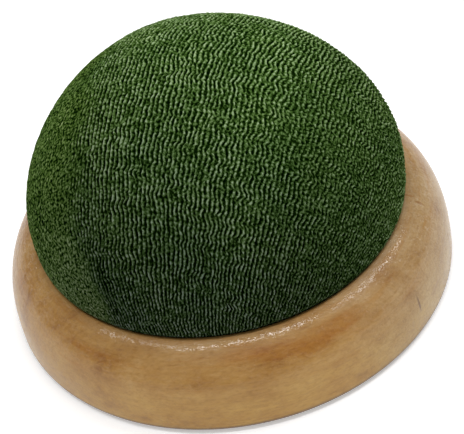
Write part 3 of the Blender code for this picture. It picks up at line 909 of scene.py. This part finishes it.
def crepe_material():
    """Matt green crepe: painted shade in the near-black grooves, painted highlight on the pale crests,
    painted light and shade across and along the cloth, uneven tone, and fine yarn bumps.
    """
    sheen = {"Sheen_Weight": 0.02, "Sheen_Roughness": 0.4, "Sheen_Tint": (0.55, 0.8, 0.3, 1.0)}
    crepe = Shading("green_crepe", Roughness=0.8, Specular_IOR_Level=0.0, **sheen)
    cloth = crepe.uv()
    slack = crepe.attribute("slack")
    beads_place = crepe.stretched(cloth, (1.0 / BEAD_ACROSS, 1.0 / BEAD_ALONG, 1.0))
    beads = crepe.noise(beads_place, 1.0, 1.0, 0.5, "2D")
    bead_lift = crepe.ranged(beads, 0.25, 0.75, -BEAD_LIFT, BEAD_LIFT, "LINEAR")
    calm = crepe.ranged(slack, 0.0, 1.0, 1.0, SLACK_BEADS, "LINEAR")
    height = crepe.maths("MULTIPLY_ADD", bead_lift, calm, crepe.attribute("rib"))
    grain = crepe.noise(cloth, 1.0 / GRAIN_SIZE, 1.0, 0.5, "2D")
    speckle = crepe.ranged(grain, 0.22, 0.62, -GRAIN_DIP, GRAIN_LIFT, "LINEAR")
    height = crepe.maths("MULTIPLY_ADD", speckle, slack, height)
    # The relief picks its colour: painted shade in the grooves, pits and pleat, and a painted highlight on
    # the crests and on the beads it lifts
    colour = crepe.ramp(crepe.ranged(height, -1.1, 1.3, kind="LINEAR"), CREPE_DYE_AND_SHADE_TONES)
    clouds = crepe.noise(crepe.place(), 90.0, 2.0, 0.5)
    colour = crepe.times(colour, crepe.ramp(clouds, CREPE_CLOUDS))
    across, along = crepe.split(cloth)[:2]
    # Painted light and shade along the cloth: darker towards the front, brighter towards the back
    far_painted_light = crepe.ranged(along, -DISH_RADIUS - 15.0 * MM, 0.3 * DISH_RADIUS)
    colour = crepe.times(colour, crepe.blend("MIX", CREPE_NEAR_PAINTED_SHADE, CREPE_FAR_PAINTED_LIGHT, far_painted_light))
    # Painted shade across the cloth's width
    side = crepe.ranged(across, -CREPE_EDGE, CREPE_EDGE, kind="LINEAR")
    colour = crepe.times(colour, crepe.ramp(side, [(place, (share,) * 3) for place, share in SIDE_PAINTED_SHADE]))
    colour = crepe.times(colour, CREPE_SLACK_TINT, slack)
    return crepe.finished(colour, crepe.bump(beads, 0.6, 0.12 * MM))


def marked(wood, place, colour, spot, reach, turn, tint):
    """The colour with a small soft-edged mark painted over it."""
    rotation = (0.0, 0.0, math.radians(turn))
    inputs = [("Vector", place), ("Location", spot), ("Rotation", rotation), ("Scale", reach)]
    inside = wood.add("ShaderNodeMapping", inputs, vector_type="TEXTURE").outputs["Vector"]
    return wood.times(colour, tint, wood.ranged(wood.vector_maths("Value", "LENGTH", inside), 1.0, 0.3))


def wood_material():
    """Light orange-tan wood under a thin satin varnish: mottled, with fine turning marks, a painted
    reflection on the right and a painted contact shadow along the foot.
    """
    wood = Shading("turned_wood", Specular_IOR_Level=0.2, Coat_Weight=0.55, Coat_Roughness=0.12)
    place = wood.place()
    x, y, z = wood.split(place)
    turned = wood.stretched(place, (0.45, 1.0, 1.0), (0.1, 0.15, 0.3))
    colour = wood.ramp(wood.noise(turned, 170.0, 6.0, 0.68), WOOD_TONES)

    # Turning marks: noise that hardly changes round the dish but quickly across it
    flat = wood.joined(x, y)
    heading = wood.vector_maths("Vector", "NORMALIZE", flat)
    radius = wood.vector_maths("Value", "LENGTH", flat)
    heading_x, heading_y = wood.split(heading)[:2]
    round_x = wood.maths("MULTIPLY", heading_x, TURNING_AROUND)
    round_y = wood.maths("MULTIPLY", heading_y, TURNING_AROUND)
    lathe = wood.joined(round_x, round_y, wood.maths("MULTIPLY", radius, 1.0 / TURNING_PITCH))
    up = wood.maths("MULTIPLY", z, 1.0 / TURNING_PITCH)
    marks = wood.noise(lathe, 1.0, 2.0, dimensions="4D", w=up)
    pores = wood.noise(turned, 2300.0, 2.0)
    colour = wood.times(colour, wood.ramp(marks, TURNING_TONES))
    colour = wood.times(colour, wood.ramp(pores, PORE_TONES))

    # Painted reflection of the white surroundings: paler on the viewer's right and greyer at the front
    # right; yellower low down, brown streaks higher up
    right_reflection = wood.ranged(x, 0.35 * DISH_RADIUS, 1.05 * DISH_RADIUS, high=0.65)
    low = wood.ranged(z, 0.85 * CREST_HEIGHT, 0.25 * CREST_HEIGHT)
    front_right_reflection = wood.ranged(wood.vector_maths("Value", "DOT_PRODUCT", heading, PAINTED_REFLECTION_SIDE), 0.72, 0.97, high=0.65)
    streaks = wood.ranged(wood.noise(lathe, 0.5, dimensions="4D", w=up), 0.50, 0.70)
    colour = wood.times(colour, RIGHT_PAINTED_REFLECTION_TINT, right_reflection)
    yellow = wood.maths("MULTIPLY", low, wood.maths("SUBTRACT", 1.0, right_reflection))
    colour = wood.times(colour, YELLOWED_TINT, yellow)
    colour = wood.times(colour, FRONT_RIGHT_PAINTED_REFLECTION_TINT, front_right_reflection)
    upper_streaks = wood.maths("MULTIPLY", streaks, wood.maths("SUBTRACT", 1.0, low))
    colour = wood.times(colour, STREAK_TINT, upper_streaks)
    for spot, reach, turn, tint in WOOD_MARKS:
        colour = marked(wood, place, colour, spot, reach, turn, tint)
    # Painted contact shadow: the colour darkens to a near-black brown along the bottom edge
    above_painted_shadow = wood.ranged(z, DISH_LOW[2] + 0.5 * MM, DISH_LOW[2] + 1.3 * MM)
    colour = wood.blend("MIX", FOOT_PAINTED_SHADOW, colour, above_painted_shadow)

    surface = wood.bump(pores, 0.5, 0.05 * MM, wood.bump(marks, 0.4, 0.06 * MM))
    pitted = wood.ranged(wood.noise(place, 1300.0), 0.48, 0.60)
    wood.tree.links.new(wood.bump(pitted, 0.9, 0.12 * MM, surface), wood.shader.inputs["Coat Normal"])
    return wood.finished(colour, surface, (marks, 0.34, 0.60))


def felt_material():
    """Dark green wool felt: matted fibres in all directions, with stray lighter ones."""
    felt = Shading("wool_felt", Specular_IOR_Level=0.1, Sheen_Weight=0.25, Sheen_Roughness=0.5)
    place = felt.place()
    clumps = felt.noise(place, 420.0)
    fibres = felt.noise(felt.stretched(place, (4.0, 0.7, 1.0)), 900.0)
    crossing = felt.noise(felt.stretched(place, (0.7, 4.0, 1.0)), 900.0)
    colour = felt.ramp(clumps, ((0.3, (0.022, 0.040, 0.018)), (0.7, (0.050, 0.082, 0.042))))
    colour = felt.times(colour, felt.ramp(fibres, ((0.42, (0.75, 0.78, 0.75)), (0.68, (1.6, 1.5, 1.5)))))
    colour = felt.times(colour, felt.ramp(crossing, ((0.42, (0.80, 0.82, 0.80)), (0.70, (1.5, 1.45, 1.4)))))
    return felt.finished(colour, felt.bump(fibres, 0.8, 0.10 * MM), (clumps, 0.85, 1.0))


def calico_material():
    """Unbleached plain-weave calico with uneven yarns and small dark flecks."""
    calico = Shading("calico", Specular_IOR_Level=0.2, Sheen_Weight=0.15)
    place = calico.place()
    waves = [
        calico.maths("SINE", calico.maths("MULTIPLY", part, 2 * math.pi / YARN_PERIOD))
        for part in calico.split(calico.uv())[:2]
    ]
    weave = calico.ranged(calico.maths("MULTIPLY", *waves), -1.0, 1.0, kind="LINEAR")
    slubs = calico.noise(calico.stretched(place, (0.4, 1.0, 1.0)), 260.0)
    flecks = calico.noise(place, 1300.0, 1.0)
    colour = calico.ramp(weave, ((0.2, (0.48, 0.42, 0.31)), (0.8, (0.68, 0.63, 0.51))))
    uneven = calico.ramp(slubs, ((0.35, (0.88, 0.86, 0.82)), (0.65, (1.06, 1.05, 1.04))))
    specks = calico.ramp(flecks, ((0.26, (0.45, 0.36, 0.24)), (0.31, (1.0, 1.0, 1.0))))
    colour = calico.times(calico.times(colour, uneven), specks)
    return calico.finished(colour, calico.bump(weave, 0.6, 0.08 * MM), (slubs, 0.80, 0.96))


def filling_material():
    """Off-white fibre filling: soft clumps crossed by fine strands."""
    fibre = Shading("fibre_filling", Specular_IOR_Level=0.2, Sheen_Weight=0.3)
    place = fibre.place()
    clumps = fibre.noise(place, 160.0)
    strands = fibre.noise(fibre.stretched(place, (0.3, 1.0, 2.5)), 1200.0)
    colour = fibre.ramp(clumps, ((0.3, (0.66, 0.63, 0.56)), (0.7, (0.84, 0.82, 0.77))))
    colour = fibre.times(colour, fibre.ramp(strands, ((0.40, (0.84,) * 3), (0.62, (1.05,) * 3))))
    return fibre.finished(colour, fibre.bump(strands, 0.9, 0.15 * MM), (clumps, 0.88, 1.0))


def thread_material(name, dark, light):
    """Matt twisted thread with fine lighter fibres."""
    thread = Shading(name, Specular_IOR_Level=0.25, Sheen_Weight=0.2)
    fibres = thread.noise(thread.stretched(thread.place(), (1.0, 1.0, 0.4)), 5200.0)
    colour = thread.ramp(fibres, ((0.35, dark), (0.65, light)))
    return thread.finished(colour, thread.bump(fibres, 0.6, 0.03 * MM), (fibres, 0.70, 0.90))


def plywood_material():
    """Three-ply board: pale face plies with grain along X, a darker cross-grained core, dark glue lines."""
    board = Shading("plywood")
    place = board.place()
    level = board.ranged(board.split(place)[2], BOARD_LOW[2], BOARD_HIGH[2], kind="LINEAR")
    face, glue, core = (0.58, 0.43, 0.25), (0.10, 0.06, 0.03), (0.40, 0.27, 0.14)
    plies = ((0.0, face), (0.32, glue), (0.36, core), (0.65, glue), (0.69, face))
    grain = board.noise(board.stretched(place, (0.06, 1.0, 1.0)), 1100.0)
    figure = board.noise(board.stretched(place, (0.25, 1.0, 1.0)), 120.0)
    colour = board.ramp(level, plies, "CONSTANT")
    colour = board.times(colour, board.ramp(grain, ((0.35, (0.78, 0.74, 0.68)), (0.60, (1.05, 1.04, 1.03)))))
    colour = board.times(colour, board.ramp(figure, ((0.3, (0.88, 0.86, 0.82)), (0.7, (1.08, 1.08, 1.08)))))
    return board.finished(colour, board.bump(grain, 0.4, 0.06 * MM), (grain, 0.60, 0.80))


def plated_material(name, dark, light, stretch):
    """Zinc-plated steel with fine machining lines and a mottled, slightly dulled surface."""
    steel = Shading(name, Metallic=1.0)
    place = steel.place()
    mottle = steel.noise(place, 900.0)
    lines = steel.noise(steel.stretched(place, stretch), 2600.0, 2.0)
    colour = steel.ramp(mottle, ((0.3, dark), (0.7, light)))
    colour = steel.times(colour, steel.ramp(lines, ((0.3, (0.90,) * 3), (0.6, (1.04,) * 3))))
    return steel.finished(colour, steel.bump(lines, 0.3, 0.02 * MM), (mottle, 0.26, 0.46))


# ---------------- stage, light and camera

VIEW_ELEVATION = math.radians(43.0)
VIEW_ROLL = math.radians(12.76)
VIEW_DISTANCE = 8.0 * DISH_RADIUS
AIM_POINT = Vector((1.7 * MM, 0.0, 11.75 * MM))
LENS_MM = 135.3
SENSOR_MM = 36.0
LIGHT_AIM = Vector((0.0, 0.0, 20.0 * MM))
FLOOR_SIZE = 6.0
FLOOR_GLOW = 0.40
WORLD_STRENGTH = 0.09


def add_camera():
    """The camera at the product photograph's angle, rolled so that the object leans to the left."""
    camera = bpy.data.cameras.new("camera")
    camera.lens = LENS_MM
    camera.sensor_width = SENSOR_MM
    camera.clip_start = 0.01
    place = bpy.data.objects.new("camera", camera)
    bpy.context.scene.collection.objects.link(place)
    away = Vector((0.0, -math.cos(VIEW_ELEVATION), math.sin(VIEW_ELEVATION)))
    place.location = VIEW_DISTANCE * away
    look = (AIM_POINT - place.location).to_track_quat("-Z", "Y")
    place.rotation_mode = "QUATERNION"
    place.rotation_quaternion = look @ Quaternion((0.0, 0.0, 1.0), -VIEW_ROLL)
    bpy.context.scene.camera = place


def add_softbox(name, place, size, power, lengthwise=(1.0, 0.0, 0.0)):
    """A rectangular soft light that faces the object, its long side in line with a direction."""
    light = bpy.data.lights.new(name, "AREA")
    light.shape = "RECTANGLE"
    light.size, light.size_y = size
    light.energy = power
    lamp = bpy.data.objects.new(name, light)
    away = (Vector(place) - LIGHT_AIM).normalized()
    side = (Vector(lengthwise) - Vector(lengthwise).dot(away) * away).normalized()
    lamp.matrix_world = Matrix((side, away.cross(side), away)).transposed().to_4x4()
    lamp.location = place
    bpy.context.scene.collection.objects.link(lamp)


def add_floor():
    """A plain pale floor."""
    bpy.ops.mesh.primitive_plane_add(size=FLOOR_SIZE)
    floor = bpy.context.object
    floor.name = "floor"
    glow = {"Emission_Color": (1.0, 1.0, 1.0, 1.0), "Emission_Strength": FLOOR_GLOW}
    paper = Shading("floor", Base_Color=(0.9, 0.9, 0.9, 1.0), Roughness=0.9, **glow)
    floor.data.materials.append(paper.material)


def add_world():
    """Even white studio surroundings."""
    world = bpy.data.worlds.new("studio")
    world.use_nodes = True
    background = world.node_tree.nodes["Background"]
    background.inputs["Color"].default_value = (1.0, 1.0, 1.0, 1.0)
    background.inputs["Strength"].default_value = WORLD_STRENGTH
    bpy.context.scene.world = world


add_camera()
add_world()
add_floor()
add_softbox("front_light", (-0.10, -0.55, 0.95), (0.8, 0.4), 1.0)
add_softbox("top_light", (0.12, 0.42, 1.02), (0.8, 0.4), 3.2)
add_softbox("strip_light", (-0.02, -0.16, 1.10), (0.75, 0.07), 4.3)
add_softbox("left_strip_light", (-0.50, 0.07, 0.97), (0.50, 0.07), 1.2, (0.42, -0.5, 0.45))
add_softbox("right_strip_light", (0.68, 0.13, 0.96), (0.66, 0.13), 3.4, (0.38, 0.80, -0.49))
add_softbox("right_light", (0.62, 0.40, 0.90), (0.5, 0.5), 0.4)
bpy.context.scene.view_settings.view_transform = "Standard"

outline = cover_outline()
form = simulated_form(outline)


def add_piece(piece, material, cad_node):
    """Dresses a piece, puts it on the body and lets it stand for its CAD node."""
    piece.data.materials.append(material)
    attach(piece, BODY)
    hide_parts(cad_node)
    return piece


cover = add_piece(make_crepe_cover(outline, form), crepe_material(), "crepe_cover")
add_piece(make_wooden_dish(), wood_material(), "wooden_base")
lining = add_piece(make_lining_bag(form), calico_material(), "lining_bag")
stuffing = add_piece(make_stuffing(form), filling_material(), "stuffing")
felt = add_piece(make_felt_pad(), felt_material(), "felt_pad")
cover_height = COVER_BOTTOM + COVER_THICKNESS / 2
cover_thread = drawn_thread("green_gathering_thread", MOUTH_RADIUS, COVER_THREAD_RADIUS, cover_height)
green_thread = thread_material("green_thread", (0.030, 0.058, 0.018), (0.075, 0.130, 0.045))
add_piece(cover_thread, green_thread, "gathering_thread")
lining_height = LINING_BOTTOM + LINING_THICKNESS / 2
lining_thread = drawn_thread(
    "cotton_lining_thread", LINING_MOUTH_RADIUS, LINING_THREAD_RADIUS, lining_height
)
cotton_thread = thread_material("cotton_thread", (0.66, 0.63, 0.54), (0.86, 0.84, 0.77))
add_piece(lining_thread, cotton_thread, "lining_thread")

SCREW_PLATING = ((0.54, 0.52, 0.47), (0.68, 0.66, 0.62), (1.0, 1.0, 5.0))
WASHER_PLATING = ((0.48, 0.48, 0.49), (0.62, 0.62, 0.63), (1.0, 0.2, 1.0))
kept_nodes = {
    "backing_board": plywood_material(),
    "fixing_screw": plated_material("plated_screw", *SCREW_PLATING),
    "screw_washer": plated_material("plated_washer", *WASHER_PLATING),
}
for name, material in kept_nodes.items():
    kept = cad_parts[name].data
    kept.materials.clear()
    kept.materials.append(material)
